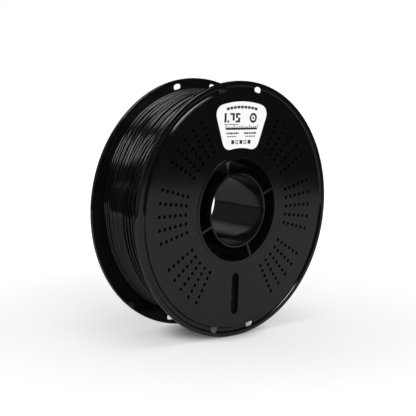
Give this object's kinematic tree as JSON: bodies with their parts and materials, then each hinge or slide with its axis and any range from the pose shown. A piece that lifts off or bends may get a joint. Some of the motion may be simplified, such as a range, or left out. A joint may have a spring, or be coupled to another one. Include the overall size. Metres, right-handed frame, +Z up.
{
  "type": "filament spool",
  "caption": "Black filament spool: vented flanges on a ribbed open hub, wound full of glossy black filament, with a plain white label.",
  "frame": {"origin": "centre of the hub's bore, half way along the spool's axis", "axes": "+Y along the bore's axis, from the labelled flange to the rear flange; +Z up with the label at the top; +X to the right seen from the labelled side"},
  "size_m": [0.2, 0.0578, 0.2],
  "materials": {
    "spool_plastic": "smooth gloss black moulding",
    "label_paper": "smooth white coated paper sticker",
    "filament": "glossy black extruded thread"
  },
  "bodies": {
    "root": {"hub_core": "spool_plastic", "front_flange": "spool_plastic", "rear_flange": "spool_plastic", "label": "label_paper", "filament_pack": "filament", "filament_winding": "filament"}
  },
  "joints": []
}
